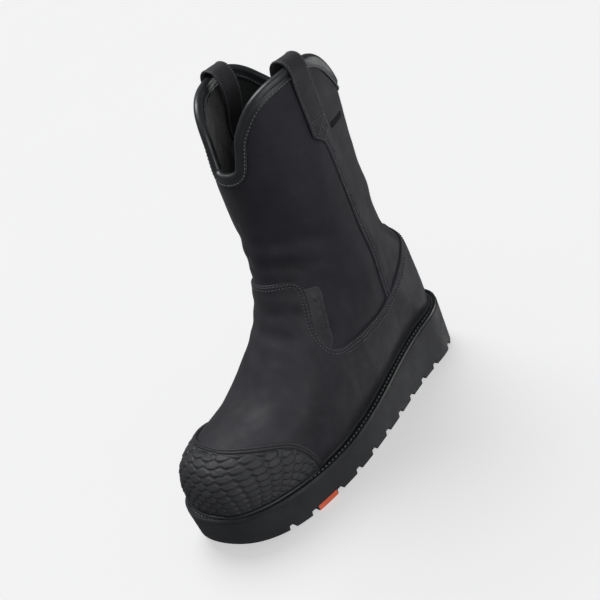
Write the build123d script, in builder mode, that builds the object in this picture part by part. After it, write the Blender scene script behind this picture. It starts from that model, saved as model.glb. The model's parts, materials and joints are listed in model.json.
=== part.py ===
from build123d import *
import math
import os

# Pull-on steel-toe work boot, left foot. Millimetres, +Z up, toe toward -Y,
# outer (lateral) side toward +X. The origin is the bottom centre of the box round the boot.

# ---- overall sizes ----
SOLE_LENGTH = 314.0
SOLE_TIP_Y = -157.0
LEATHER = 2.2
LINING = 1.6
VAMP = 1.6
GUARD = 2.2
GUARD_RIM = 3.0
BACKSTAY = 1.4
BINDING = 1.3
FAR = 260.0

# ---- sole ----
SOLE_OUTLINE = [
    (-11.4, -157), (10.6, -154), (32.6, -141.5), (47.6, -116), (55.6, -84), (58.6, -54), (58.6, -27),
    (55.6, 1), (51.1, 31), (46.6, 56), (42.6, 83), (40.6, 106), (37.6, 131), (24.6, 150), (-3.4, 157),
    (-29.4, 151), (-43.4, 132), (-46.9, 106), (-44.4, 71), (-42.4, 41), (-44.4, 11), (-50.4, -19),
    (-55.9, -49), (-58.4, -84), (-55.4, -117), (-44.4, -142), (-29.4, -152.5),
]
SOLE_TOP = [(-166, 36), (-120, 30), (-60, 25), (0, 27), (60, 36), (110, 43), (166, 46.5)]
TREAD = [(-166, 15), (-140, 8.5), (-120, 4), (-95, 1), (-70, 0), (125, 0), (145, 2), (166, 10)]
WALL_DRAFT = 1.6
WALL = 8.0
TREAD_BASE = 9.0
LEDGE_INSET = 1.0
WELT = 2.0
LIP_WIDTH = 2.0
WELT_REACH = 20.0
LIP = 1.2
BEAD_WIDTH = 2.6
BEAD = 3.2

# ---- lugs ----
CHANNEL_Y = [-112, -90, -61, -36, -12, 12, 36, 59, 82, 104, 133]
CHANNEL = 8.0
CHANNEL_DEPTH = 4.0
CENTRE_CHANNEL = 9.0
ACCENT_LENGTH = 21.0
ACCENT_Y = -75.5
ACCENT_WIDTH = 24.0

# ---- inner sole ----
BOARD = 2.0
FOOTBED = 4.5
SHANK_LENGTH = 120.0
SHANK_WIDTH = 16.0
SHANK = 2.0
SHANK_Y = 35.0

# ---- upper: cross sections from the toe round the ankle to the mouth ----
# sole-side end (y, z), instep-side end (y, z), half width, squareness at each end
SECTIONS = [
    (-144.5, 28, -144.5, 49, 14, 2.8, 2.0),
    (-141, 24, -141, 60, 25.5, 2.8, 2.2),
    (-131, 21, -131, 73, 36, 3.0, 2.3),
    (-110, 18, -108, 83, 44.5, 3.3, 2.4),
    (-79, 15, -70, 90, 49.5, 3.2, 2.4),
    (-44, 14, -36, 112, 49.5, 3.2, 2.2),
    (1, 15, -18, 133, 45.5, 3.1, 2.1),
    (56, 22, -11, 151, 41, 3.0, 2.1),
    (108, 26, -3, 176, 40, 2.7, 2.1),
    (144, 32, -1.5, 186, 41, 2.6, 2.1),
    (149, 64, 0, 195, 42.5, 2.4, 2.1),
    (148.5, 105, 2.5, 208.5, 44.5, 2.2, 2.0),
    (133.5, 150, 4.5, 224.5, 47.5, 2.1, 2.0),
    (132, 206, 7, 247, 50.5, 2.0, 2.0),
    (139, 274, 9, 285, 53.5, 2.0, 2.0),
    (145, 336, 9.6, 336, 55.5, 2.0, 2.0),
]
TOE_SHARE = [1.0, 0.9, 0.6, 0.25]
SPINE = [
    (-150, -6.9), (-130, -5.9), (-110, -3.4), (-85, -1.4), (-55, 0.6), (-28, 3.1), (0, 4.1), (30, 3.6),
    (55, 1.6), (82, -1.4), (105, -2.9),
]
RING_POINTS = 18
SECTION_STEP = 12.0
RUN_LENGTH = 8

# ---- seams, drawn on the side view (y, z) ----
VAMP_EDGE = [
    (-40, 169), (-6, 168), (6, 163.5), (8.5, 156), (4.6, 140), (-2.6, 121), (-2, 105), (7.7, 97),
    (20, 94.5), (37.6, 92.5), (68.4, 93), (87, 99.6), (108, 111), (122, 121), (170, 156),
]
UNDERLAP = 12.0
TAB = [(-12, 162), (19, 152), (21, 148), (16.3, 134), (10.6, 118), (7, 107), (0, 102), (-14, 108)]
TAB_THICKNESS = 1.1
GUARD_EDGE = [
    (-125, 100), (-123.5, 82), (-118.7, 81.3), (-104.6, 77.3), (-85.6, 70.2), (-77, 64.8), (-71, 57), (-64.6, 41.7),
]
GUARD_FOOT = (-59, 16)
RIM_WIDTH = 4.2
SIDE_SEAM = [
    (73, 345), (69.5, 262), (72, 248), (73.3, 225), (74.5, 197), (76, 174), (80, 144), (79, 110), (77, 60),
]
COLLAR = [
    (-12, 261.5), (6, 263), (9.5, 272), (15.5, 294), (26, 310.5), (38, 317.5), (52, 320.5), (77, 322),
    (92, 318.5), (104, 310), (114, 298), (124, 285), (136, 277.5), (162, 275.5),
]
BINDING_DEPTH = 7.5
BINDING_CROWN = 1.6
CAP_END_Y = -88.0
COUNTER_START_Y = 92.0
COUNTER_TOP = 96.0
BACKSTAY_HALF = 9.5
BACKSTAY_TOP = 168.0

# ---- pull straps ----
SHAFT_X = -2.9
STRAP_X = 0.0
STRAP_WIDTH = 19.0
STRAP_Y = 69.5
STRAP = 2.2
STRAP_CROWN_Z = 330.0
STRAP_TIP_Z = 257.0
LABEL_SPAN = (86.5, 108.0)
LABEL_Z = (259.5, 264.0)
LABEL_THICKNESS = 0.7


def between(table, y):
    """Straight-line value of a table of (y, value) rows."""
    for (y0, v0), (y1, v1) in zip(table, table[1:]):
        if y <= y1:
            share = max(0.0, (y - y0) / (y1 - y0))
            return v0 + (v1 - v0) * share
    return table[-1][1]


def power(value, exponent):
    return math.copysign(abs(value) ** exponent, value)


def ring(row, inset, share):
    """Closed curve of one cross section, moved inward by inset."""
    sole_y, sole_z, top_y, top_z, half, n_sole, n_top = row
    length = math.hypot(top_y - sole_y, top_z - sole_z)
    dir_y = (top_y - sole_y) / length
    dir_z = (top_z - sole_z) / length
    shift = inset * share
    plane = Plane(
        origin=(0, sole_y + shift, sole_z),
        x_dir=(1, 0, 0),
        z_dir=(0, dir_z, -dir_y),
    )
    sign = 1 if plane.y_dir.Z * dir_z + plane.y_dir.Y * dir_y > 0 else -1
    squeeze = 0.36 + 0.07 * (4.0 - n_sole)
    points = []
    for i in range(RING_POINTS):
        angle = 2 * math.pi * i / RING_POINTS
        c = math.cos(angle)
        s = math.sin(angle)
        n = n_sole if s < 0 else n_top
        reach = squeeze if s < 0 else 1 - squeeze
        u = (half - inset) * power(c, 2 / n)
        v = inset + (length - 2 * inset) * (squeeze + reach * power(s, 2 / n))
        world_y = sole_y + dir_y * v
        points.append((u + between(SPINE, world_y), sign * v))
    return plane, points


def slopes(places, values):
    """Tangents for a smooth curve through values that never overshoots them."""
    gaps = [b - a for a, b in zip(places, places[1:])]
    steps = [(b - a) / gap for a, b, gap in zip(values, values[1:], gaps)]
    result = [steps[0]]
    for left, right in zip(steps, steps[1:]):
        result.append(2 * left * right / (left + right) if left * right > 0 else 0.0)
    return result + [steps[-1]]


def fine_sections():
    """The cross sections with evenly spaced ones blended in between them."""
    rows = [row + (TOE_SHARE[i] if i < len(TOE_SHARE) else 0.0,) for i, row in enumerate(SECTIONS)]
    places = [0.0]
    for a, b in zip(rows, rows[1:]):
        places.append(places[-1] + math.hypot(a[0] + a[2] - b[0] - b[2], a[1] + a[3] - b[1] - b[3]) / 2 + 3)
    columns = [[row[k] for row in rows] for k in range(len(rows[0]))]
    tangents = [slopes(places, column) for column in columns]
    result = []
    for i, (start, end) in enumerate(zip(places, places[1:])):
        gap = end - start
        count = max(1, round(gap / SECTION_STEP))
        for j in range(count):
            t = j / count
            result.append([
                (2 * t**3 - 3 * t**2 + 1) * column[i] + (3 * t**2 - 2 * t**3) * column[i + 1]
                + gap * ((t**3 - 2 * t**2 + t) * slope[i] + (t**3 - t**2) * slope[i + 1])
                for column, slope in zip(columns, tangents)
            ])
    return result + [list(rows[-1])]


def add_upper(inset):
    """Solid inside the upper's skin, moved inward by inset (outward when negative)."""
    faces = []
    for *row, share in fine_sections():
        plane, points = ring(row, inset, share)
        with BuildSketch(plane) as section:
            with BuildLine():
                Spline(*points, periodic=True)
            make_face()
        faces.append(section.sketch.face())
    for start in range(0, len(faces) - 1, RUN_LENGTH):
        loft(faces[start:start + RUN_LENGTH + 1], ruled=True)


def add_region(points, mode=Mode.INTERSECT, smooth=True, corners=()):
    """Block that fills a side-view outline, right through the boot along X."""
    with BuildSketch(Plane.YZ.offset(-FAR / 2)) as region:
        with BuildLine():
            if smooth:
                Spline(*points)
                Polyline(points[-1], *corners, points[0])
            else:
                Polyline(*points, *corners, points[0])
        make_face()
    extrude(region.sketch, amount=FAR, mode=mode)


def shifted(points, dz):
    return [(y, z + dz) for y, z in points]


def above_sole(rise=0.0, mode=Mode.INTERSECT):
    add_region(shifted(SOLE_TOP, rise), mode, corners=[(166, 400), (-166, 400)])


def sole_slab(bottom, top, mode=Mode.INTERSECT):
    """Slab that follows the top of the sole between two heights."""
    with BuildSketch(Plane.YZ.offset(-FAR / 2)) as slab:
        with BuildLine():
            low = Spline(*shifted(SOLE_TOP, bottom))
            high = Spline(*shifted(SOLE_TOP, top))
            Line(low @ 0, high @ 0)
            Line(low @ 1, high @ 1)
        make_face()
    extrude(slab.sketch, amount=FAR, mode=mode)


def add_outline(inset, bottom, top, draft=0.0, mode=Mode.ADD):
    """Column with the sole's outline, drawn in by inset, narrowing downward by draft."""
    faces = []
    for z, d in ((bottom, inset + draft), (top, inset)):
        across = 1 - d / 58.5
        along = 1 - d / 157.0
        with BuildSketch(Plane.XY.offset(z)) as outline:
            with BuildLine():
                Spline(*[(x * across, y * along) for x, y in SOLE_OUTLINE], periodic=True)
            make_face()
        faces.append(outline.sketch.face())
    loft(faces, ruled=True, mode=mode)


def finish(builder, name):
    builder.part.label = name
    export_step(builder.part, f"parts/{name}.step")
    box = builder.part.bounding_box()
    corners = [round(v, 1) for v in (*box.min, *box.max)]
    print(name, round(builder.part.volume), corners, len(builder.part.solids()))


def keep_box(x0, x1, y0, y1, z0, z1, mode=Mode.INTERSECT):
    """Straight-sided block between the given limits."""
    with Locations(((x0 + x1) / 2, (y0 + y1) / 2, (z0 + z1) / 2)):
        Box(x1 - x0, y1 - y0, z1 - z0, mode=mode)


def below_collar(rise, mode=Mode.INTERSECT):
    add_region(shifted(COLLAR, rise), mode, corners=[(162, -20), (-12, -20)])


def foot_area(drop, mode):
    """Everything below the top edge of the vamp, lowered by drop."""
    add_region(shifted(VAMP_EDGE, -drop), mode, corners=[(170, -20), (-200, -20), (-200, 169 - drop)])


def guard_area(inward, mode):
    """Everything in front of the toe guard's edge, moved toward the toe by inward."""
    edge = [(y - inward * 0.75, z - inward * 0.65) for y, z in GUARD_EDGE]
    foot = (GUARD_FOOT[0] - inward, GUARD_FOOT[1])
    add_region([*edge, foot], mode, corners=[(-200, 16), (-200, 100)])


def ribbon(points, thickness):
    """The two long edges of a band of even thickness that follows a line of points."""
    first = []
    second = []
    for i, (x, z) in enumerate(points):
        before = points[max(0, i - 1)]
        after = points[min(len(points) - 1, i + 1)]
        run = math.hypot(after[0] - before[0], after[1] - before[1])
        nx = (after[1] - before[1]) / run * thickness / 2
        nz = -(after[0] - before[0]) / run * thickness / 2
        first.append((x + nx, z + nz))
        second.append((x - nx, z - nz))
    return first, second


os.makedirs("parts", exist_ok=True)

# ---- nested skins of the upper, from outside to inside ----
skins = {}
for inset in (-VAMP - GUARD_RIM, -VAMP - GUARD, -VAMP - BEAD_WIDTH, -VAMP - BACKSTAY, -VAMP, -TAB_THICKNESS,
              -BINDING, -LABEL_THICKNESS, 0, LEATHER, LEATHER + LINING, LEATHER + LINING + BINDING):
    with BuildPart() as solid:
        add_upper(inset)
    skins[inset] = solid.part

# ---- outsole: cup of black rubber with lugs under it ----
with BuildPart() as outsole:
    add_outline(0, 0, 62, WALL_DRAFT)
    with BuildSketch(Plane.YZ.offset(-FAR / 2)) as profile:
        with BuildLine():
            low = Spline(*TREAD)
            high = Spline(*SOLE_TOP)
            Line(low @ 0, high @ 0)
            Line(low @ 1, high @ 1)
        make_face()
    extrude(profile.sketch, amount=FAR, mode=Mode.INTERSECT)
    with BuildSketch(Plane.YZ.offset(-FAR / 2)) as channels:
        for y in CHANNEL_Y:
            root = between(TREAD, y) + CHANNEL_DEPTH
            with Locations((y, root / 2 - 3)):
                Trapezoid(CHANNEL + 2, root + 6, 78)
    extrude(channels.sketch, amount=FAR, mode=Mode.SUBTRACT)
    keep_box(-CENTRE_CHANNEL / 2, CENTRE_CHANNEL / 2, -112, 133, -5, CHANNEL_DEPTH, Mode.SUBTRACT)

# ---- accent lug: the coloured block at the outer ball of the foot ----
with BuildPart() as accent_lug:
    add_outline(-0.3, 0, 62, WALL_DRAFT)
    keep_box(58.6 - ACCENT_WIDTH, 80, ACCENT_Y - ACCENT_LENGTH / 2, ACCENT_Y + ACCENT_LENGTH / 2, 0.2, 5.0)
with BuildPart() as outsole_cut:
    add(outsole.part)
    add(accent_lug.part, mode=Mode.SUBTRACT)

# ---- midsole: cushioning wedge inside the rubber cup ----
with BuildPart() as midsole:
    add_outline(WALL, 0, 62)
    with BuildSketch(Plane.YZ.offset(-FAR / 2)) as core:
        with BuildLine():
            low = Spline(*shifted(TREAD, TREAD_BASE))
            high = Spline(*SOLE_TOP)
            Line(low @ 0, high @ 0)
            Line(low @ 1, high @ 1)
        make_face()
    extrude(core.sketch, amount=FAR, mode=Mode.INTERSECT)
with BuildPart() as outsole_cup:
    add(outsole_cut.part)
    add(midsole.part, mode=Mode.SUBTRACT)
finish(outsole_cup, "outsole")
finish(accent_lug, "accent_lug")

# ---- shank: stiff strip let into the top of the midsole ----
with BuildPart() as shank:
    keep_box(-SHANK_WIDTH / 2, SHANK_WIDTH / 2, SHANK_Y - SHANK_LENGTH / 2, SHANK_Y + SHANK_LENGTH / 2,
             0, 62, Mode.ADD)
    sole_slab(-SHANK, 0)
finish(shank, "shank")
with BuildPart() as midsole_cut:
    add(midsole.part)
    add(shank.part, mode=Mode.SUBTRACT)
finish(midsole_cut, "midsole")

# ---- welt: flat ring that runs in under the upper, with a raised lip along its outer edge ----
with BuildPart() as well:
    add_outline(LEDGE_INSET + LIP_WIDTH, 0, 62)
    sole_slab(WELT, WELT + 9)
with BuildPart() as welt:
    add_outline(LEDGE_INSET, 0, 62)
    add_outline(WELT_REACH, -1, 63, mode=Mode.SUBTRACT)
    sole_slab(0, WELT + LIP)
    add(well.part, mode=Mode.SUBTRACT)
finish(welt, "welt")

# ---- bead: raised roll round the foot of the upper ----
with BuildPart() as welt_bead:
    add(skins[-VAMP - BEAD_WIDTH])
    add(skins[-VAMP], mode=Mode.SUBTRACT)
    sole_slab(WELT, WELT + BEAD)
finish(welt_bead, "welt_bead")

# ---- insole board inside the welt ring, and the footbed over it ----
with BuildPart() as insole_board:
    add_outline(WELT_REACH, 0, 62)
    sole_slab(0, BOARD)
finish(insole_board, "insole_board")

with BuildPart() as footbed:
    add(skins[LEATHER + LINING])
    sole_slab(BOARD, BOARD + FOOTBED)
finish(footbed, "footbed")

# ---- protective and stiffening layer under the vamp ----
with BuildPart() as steel_toe_cap:
    add(skins[0])
    add(skins[LEATHER], mode=Mode.SUBTRACT)
    above_sole(WELT)
    keep_box(-90, 90, -200, CAP_END_Y, 0, 140)
finish(steel_toe_cap, "steel_toe_cap")

with BuildPart() as heel_counter:
    add(skins[0])
    add(skins[LEATHER], mode=Mode.SUBTRACT)
    above_sole(WELT)
    keep_box(-90, 90, COUNTER_START_Y, 200, 0, COUNTER_TOP)
finish(heel_counter, "heel_counter")

with BuildPart() as foam_layer:
    add(skins[0])
    add(skins[LEATHER], mode=Mode.SUBTRACT)
    above_sole(WELT)
    foot_area(UNDERLAP, Mode.INTERSECT)
    keep_box(-90, 90, -200, CAP_END_Y, 0, 140, Mode.SUBTRACT)
    keep_box(-90, 90, COUNTER_START_Y, 200, 0, COUNTER_TOP, Mode.SUBTRACT)
finish(foam_layer, "foam_layer")

# ---- vamp: one piece of leather from the toe round to the heel ----
with BuildPart() as vamp:
    add(skins[-VAMP])
    add(skins[0], mode=Mode.SUBTRACT)
    above_sole(WELT)
    foot_area(0, Mode.INTERSECT)
finish(vamp, "vamp")

# ---- small plain tabs tucked behind the vamp's side edges ----
with BuildPart() as tabs:
    add(skins[-TAB_THICKNESS])
    add(skins[0], mode=Mode.SUBTRACT)
    add_region(TAB, smooth=False)
    foot_area(0, Mode.SUBTRACT)
for name, x0, x1 in (("side_tab_lateral", 0, 90), ("side_tab_medial", -90, 0)):
    with BuildPart() as side_tab:
        add(tabs.part)
        keep_box(x0, x1, -60, 60, 80, 180)
    finish(side_tab, name)

# ---- toe guard and its ribbed rim ----
with BuildPart() as toe_guard:
    add(skins[-VAMP - GUARD])
    add(skins[-VAMP], mode=Mode.SUBTRACT)
    above_sole(WELT + BEAD)
    guard_area(RIM_WIDTH, Mode.INTERSECT)
finish(toe_guard, "toe_guard")

with BuildPart() as guard_rim:
    add(skins[-VAMP - GUARD_RIM])
    add(skins[-VAMP], mode=Mode.SUBTRACT)
    above_sole(WELT + BEAD)
    guard_area(0, Mode.INTERSECT)
    guard_area(RIM_WIDTH, Mode.SUBTRACT)
finish(guard_rim, "guard_rim")

# ---- shaft: two front panels and a back panel, closed by side seams ----
with BuildPart() as shaft:
    add(skins[0])
    add(skins[LEATHER], mode=Mode.SUBTRACT)
    foot_area(UNDERLAP, Mode.SUBTRACT)
    below_collar(0)
    keep_box(-90, 90, COUNTER_START_Y, 200, 0, COUNTER_TOP, Mode.SUBTRACT)
for name, x0, x1 in (("shaft_front_lateral", SHAFT_X, 90), ("shaft_front_medial", -90, SHAFT_X)):
    with BuildPart() as front_panel:
        add(shaft.part)
        add_region(SIDE_SEAM, smooth=True, corners=[(-200, 60), (-200, 345)])
        keep_box(x0, x1, -200, 200, 0, 400)
    finish(front_panel, name)
with BuildPart() as shaft_back:
    add(shaft.part)
    add_region(SIDE_SEAM, mode=Mode.SUBTRACT, smooth=True, corners=[(-200, 60), (-200, 345)])
finish(shaft_back, "shaft_back")

# ---- backstay: strip over the back seam ----
with BuildPart() as vamp_body:
    add(skins[-VAMP])
    foot_area(0, Mode.INTERSECT)
strip_box = (SHAFT_X - BACKSTAY_HALF, SHAFT_X + BACKSTAY_HALF, 70, 200, 0, BACKSTAY_TOP)
with BuildPart() as strip_core:
    add(skins[0])
    keep_box(*strip_box)
with BuildPart() as strip_vamp:
    add(vamp_body.part)
    keep_box(*strip_box)
with BuildPart() as backstay:
    add(skins[-VAMP - BACKSTAY])
    keep_box(*strip_box)
    above_sole(WELT + BEAD)
    add(strip_core.part, mode=Mode.SUBTRACT)
    add(strip_vamp.part, mode=Mode.SUBTRACT)
finish(backstay, "backstay")

# ---- lining of the foot and of the shaft ----
for name, z0, z1 in (("foot_lining", 0, 128), ("shaft_lining", 128, 400)):
    with BuildPart() as lining:
        add(skins[LEATHER])
        add(skins[LEATHER + LINING], mode=Mode.SUBTRACT)
        above_sole(WELT)
        below_collar(0)
        keep_box(-90, 90, -200, 200, z0, z1)
    finish(lining, name)

# ---- binding folded over the collar ----
with BuildPart() as wall_top:
    add(skins[0])
    add(skins[LEATHER + LINING], mode=Mode.SUBTRACT)
    below_collar(0)
with BuildPart() as collar_binding:
    add(skins[-BINDING])
    add(skins[LEATHER + LINING + BINDING], mode=Mode.SUBTRACT)
    below_collar(BINDING_CROWN)
    below_collar(-BINDING_DEPTH, Mode.SUBTRACT)
    add(wall_top.part, mode=Mode.SUBTRACT)
finish(collar_binding, "collar_binding")

# ---- pull straps: folded loops over the collar on both sides ----
STRAP_PATH = [
    (53.5, STRAP_TIP_Z), (55.4, 296), (57.3, 312), (57.5, 321), (54, 327), (47, STRAP_CROWN_Z - STRAP / 2),
    (40, 326), (36, 316), (39, 298), (46, 280), (47.5, 266),
]
with BuildPart() as strap_room:
    add(skins[-BINDING])
    keep_box(-90, 90, STRAP_Y - 12, STRAP_Y + 12, 240, 340)
    add(skins[LEATHER + LINING + BINDING], mode=Mode.SUBTRACT)
    below_collar(BINDING_CROWN)
for name, side in (("pull_strap_lateral", 1), ("pull_strap_medial", -1)):
    outer, inner = ribbon([(STRAP_X + side * x, z) for x, z in STRAP_PATH], STRAP)
    with BuildPart() as strap:
        with BuildSketch(Plane.XZ.offset(-STRAP_Y - STRAP_WIDTH / 2)) as loop:
            with BuildLine():
                rim = Spline(*outer)
                core_line = Spline(*inner)
                Line(rim @ 0, core_line @ 0)
                Line(rim @ 1, core_line @ 1)
            make_face()
        extrude(loop.sketch, amount=STRAP_WIDTH)
        add(strap_room.part, mode=Mode.SUBTRACT)
    finish(strap, name)

# ---- small woven label behind the lateral strap ----
with BuildPart() as side_label:
    add(skins[-LABEL_THICKNESS])
    add(skins[0], mode=Mode.SUBTRACT)
    keep_box(0, 90, LABEL_SPAN[0], LABEL_SPAN[1], LABEL_Z[0], LABEL_Z[1])
finish(side_label, "side_label")
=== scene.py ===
import json
import math
import bmesh
import bpy
import numpy as np
from mathutils import Matrix, Vector
from mathutils.bvhtree import BVHTree

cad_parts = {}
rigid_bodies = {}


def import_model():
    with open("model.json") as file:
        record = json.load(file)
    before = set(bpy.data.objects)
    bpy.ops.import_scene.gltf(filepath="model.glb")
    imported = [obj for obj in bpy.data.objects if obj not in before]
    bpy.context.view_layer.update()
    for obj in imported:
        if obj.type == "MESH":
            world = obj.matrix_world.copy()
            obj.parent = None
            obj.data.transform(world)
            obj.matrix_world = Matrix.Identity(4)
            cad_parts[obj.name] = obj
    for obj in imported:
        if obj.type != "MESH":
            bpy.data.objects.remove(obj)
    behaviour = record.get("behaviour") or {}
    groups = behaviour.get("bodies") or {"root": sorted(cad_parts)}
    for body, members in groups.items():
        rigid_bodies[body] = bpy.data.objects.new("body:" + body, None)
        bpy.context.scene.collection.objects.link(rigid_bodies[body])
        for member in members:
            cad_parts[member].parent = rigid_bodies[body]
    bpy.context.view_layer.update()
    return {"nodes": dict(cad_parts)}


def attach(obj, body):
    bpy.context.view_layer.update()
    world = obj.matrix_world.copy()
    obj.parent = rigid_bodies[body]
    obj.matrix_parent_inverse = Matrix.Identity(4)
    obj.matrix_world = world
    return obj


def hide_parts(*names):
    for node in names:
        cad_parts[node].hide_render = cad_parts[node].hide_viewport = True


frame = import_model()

# Pull-on steel-toe work boot. Lengths are in millimetres here and become metres in make_mesh().
# The soft pieces are layers over one smooth base surface, trimmed along curves drawn on the side view.
# A "field" of a layer is its distance in millimetres from such a curve, positive on the kept side.

MM = 0.001
BODY = "root"

# ---- base surface, as in the CAD: sole end (y, z), instep end (y, z), half width, squareness ----
SECTIONS = [
    (-144.5, 28, -144.5, 49, 14, 2.8, 2.0),
    (-141, 24, -141, 60, 25.5, 2.8, 2.2),
    (-131, 21, -131, 73, 36, 3.0, 2.3),
    (-110, 18, -108, 83, 44.5, 3.3, 2.4),
    (-79, 15, -70, 90, 49.5, 3.2, 2.4),
    (-44, 14, -36, 112, 49.5, 3.2, 2.2),
    (1, 15, -18, 133, 45.5, 3.1, 2.1),
    (56, 22, -11, 151, 41, 3.0, 2.1),
    (108, 26, -3, 176, 40, 2.7, 2.1),
    (144, 32, -1.5, 186, 41, 2.6, 2.1),
    (149, 64, 0, 195, 42.5, 2.4, 2.1),
    (148.5, 105, 2.5, 208.5, 44.5, 2.2, 2.0),
    (133.5, 150, 4.5, 224.5, 47.5, 2.1, 2.0),
    (132, 206, 7, 247, 50.5, 2.0, 2.0),
    (139, 274, 9, 285, 53.5, 2.0, 2.0),
    (145, 336, 9.6, 336, 55.5, 2.0, 2.0),
]
SPINE = [
    (-150, -6.9), (-130, -5.9), (-110, -3.4), (-85, -1.4), (-55, 0.6), (-28, 3.1), (0, 4.1), (30, 3.6),
    (55, 1.6), (82, -1.4), (105, -2.9),
]
SOLE_TOP = [(-166, 36), (-120, 30), (-60, 25), (0, 27), (60, 36), (110, 43), (166, 46.5)]
VAMP_EDGE = [
    (-40, 169), (-6, 168), (6, 163.5), (8.5, 156), (4.6, 140), (-2.6, 121), (-2, 105), (7.7, 97),
    (20, 94.5), (37.6, 92.5), (68.4, 93), (87, 99.6), (108, 111), (122, 121), (170, 156),
]
TAB = [(-12, 162), (19, 152), (21, 148), (16.3, 134), (10.6, 118), (7, 107), (0, 102), (-14, 108)]
GUARD_EDGE = [
    (-125, 100), (-123.5, 82), (-118.7, 81.3), (-104.6, 77.3), (-85.6, 70.2), (-77, 64.8), (-71, 57),
    (-64.6, 41.7), (-59, 16),
]
SIDE_SEAM = [
    (73, 345), (69.5, 262), (72, 248), (73.3, 225), (74.5, 197), (76, 174), (80, 144), (79, 110), (77, 60),
]
COLLAR = [
    (-12, 261.5), (6, 263), (9.5, 272), (15.5, 294), (26, 310.5), (38, 317.5), (52, 320.5), (77, 322),
    (92, 318.5), (104, 310), (114, 298), (124, 285), (136, 277.5), (162, 275.5),
]
STRAP_PATH = [
    (54.5, 256), (55.9, 280), (56.2, 296), (57.1, 312), (57.5, 321), (54, 327), (47, 328.9), (40, 326),
    (36, 316), (39, 298), (46, 280), (47.5, 266),
]
STRAP_Y = 69.5
STRAP_HALF = 9.5
STRAP_HALF_THICK = 1.05
SEAM_X = -2.9

# thicknesses, and how far the shaft runs under the vamp
WELT = 2.0
BEAD = 3.2
LEATHER = 2.2
LINING = 1.6
VAMP = 1.6
RIM_WIDTH = 4.2
UNDERLAP = 12.0

# rounded edges, and the stitch rows by their distance in from an edge
EDGE_ROUND = 1.1
STITCH_ROWS = (2.1, 4.8)
THIRD_ROW = 7.4
SEAM_ROWS = (2.1, 5.4)
THREAD_PITCH = 2.9
GROOVE_WIDTH = 0.5
BACKSTAY_ROW = 2.4
TAB_ROW = 1.8
STRAP_ROW = 1.6

# places of small pieces
BACKSTAY_HALF = 9.5
BACKSTAY_TOP = 168.0
STRAP_BOX = (262, 279)
LINING_SEAM_Z = 128.0
LABEL_Y = (86.5, 108.0)
LABEL_Z = (259.5, 264.0)


# ---------------------------------------------------------------- curves and the base surface
def monotone(places, values, at):
    """Smooth values through a table without overshoot, as the CAD blends its sections."""
    places, values = np.asarray(places, float), np.asarray(values, float)
    gap = np.diff(places)
    step = np.diff(values) / gap
    left, right = step[:-1], step[1:]
    same = left * right > 0
    inner = np.where(same, 2 * left * right / np.where(same, left + right, 1), 0)
    slope = np.concatenate([[step[0]], inner, [step[-1]]])
    i = np.clip(np.searchsorted(places, at, side="right") - 1, 0, len(gap) - 1)
    t = (at - places[i]) / gap[i]
    return ((2 * t**3 - 3 * t**2 + 1) * values[i] + (3 * t**2 - 2 * t**3) * values[i + 1]
            + gap[i] * ((t**3 - 2 * t**2 + t) * slope[i] + (t**3 - t**2) * slope[i + 1]))


def smooth_curve(points, step=1.5):
    """Even points along a smooth curve through a few given points."""
    p = np.asarray(points, float)
    chord = np.concatenate([[0], np.cumsum(np.hypot(*np.diff(p, axis=0).T) ** 0.5)])
    p = np.vstack([2 * p[0] - p[1], p, 2 * p[-1] - p[-2]])
    out = []
    for k in range(1, len(p) - 2):
        t0, t1 = chord[k - 1], chord[k]
        before = chord[k - 2] if k > 1 else t0 - (t1 - t0)
        after = chord[k + 1] if k + 1 < len(chord) else t1 + (t1 - t0)
        count = max(2, int(np.hypot(*(p[k + 1] - p[k])) / step))
        t = np.linspace(t0, t1, count, endpoint=False)[:, None]
        a1 = (t0 - t) / (t0 - before) * p[k - 1] + (t - before) / (t0 - before) * p[k]
        a2 = (t1 - t) / (t1 - t0) * p[k] + (t - t0) / (t1 - t0) * p[k + 1]
        a3 = (after - t) / (after - t1) * p[k + 1] + (t - t1) / (after - t1) * p[k + 2]
        b1 = (t1 - t) / (t1 - before) * a1 + (t - before) / (t1 - before) * a2
        b2 = (after - t) / (after - t0) * a2 + (t - t0) / (after - t0) * a3
        out.append((t1 - t) / (t1 - t0) * b1 + (t - t0) / (t1 - t0) * b2)
    return np.vstack(out + [p[-2:-1]])


def unit(v):
    return v / np.maximum(np.linalg.norm(v, axis=-1, keepdims=True), 1e-9)


def smoothstep(x, low, high):
    t = np.clip((x - low) / (high - low), 0, 1)
    return t * t * (3 - 2 * t)


ROWS = np.array(SECTIONS, float)
PLACES = np.concatenate([[0], np.cumsum(
    np.hypot(np.diff(ROWS[:, 0] + ROWS[:, 2]), np.diff(ROWS[:, 1] + ROWS[:, 3])) / 2 + 3)])
SPINE_Y, SPINE_X = np.array(SPINE, float).T
TOE_DOME = 2.1
MOUTH_LEAN = 7.5
FRONT_FILL = 4.2
REAR_SLIM = 3.0
FRONT_FACING = np.array([-0.5, -0.85, 0.15])
RING_DENSE = 361
TOE_START = -4.0
TOE_SHRINK = 0.97
WIDEST_AT = 0.36
WIDEST_RISE = 0.07


def spine_x(y):
    return np.interp(y, SPINE_Y, SPINE_X)


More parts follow.
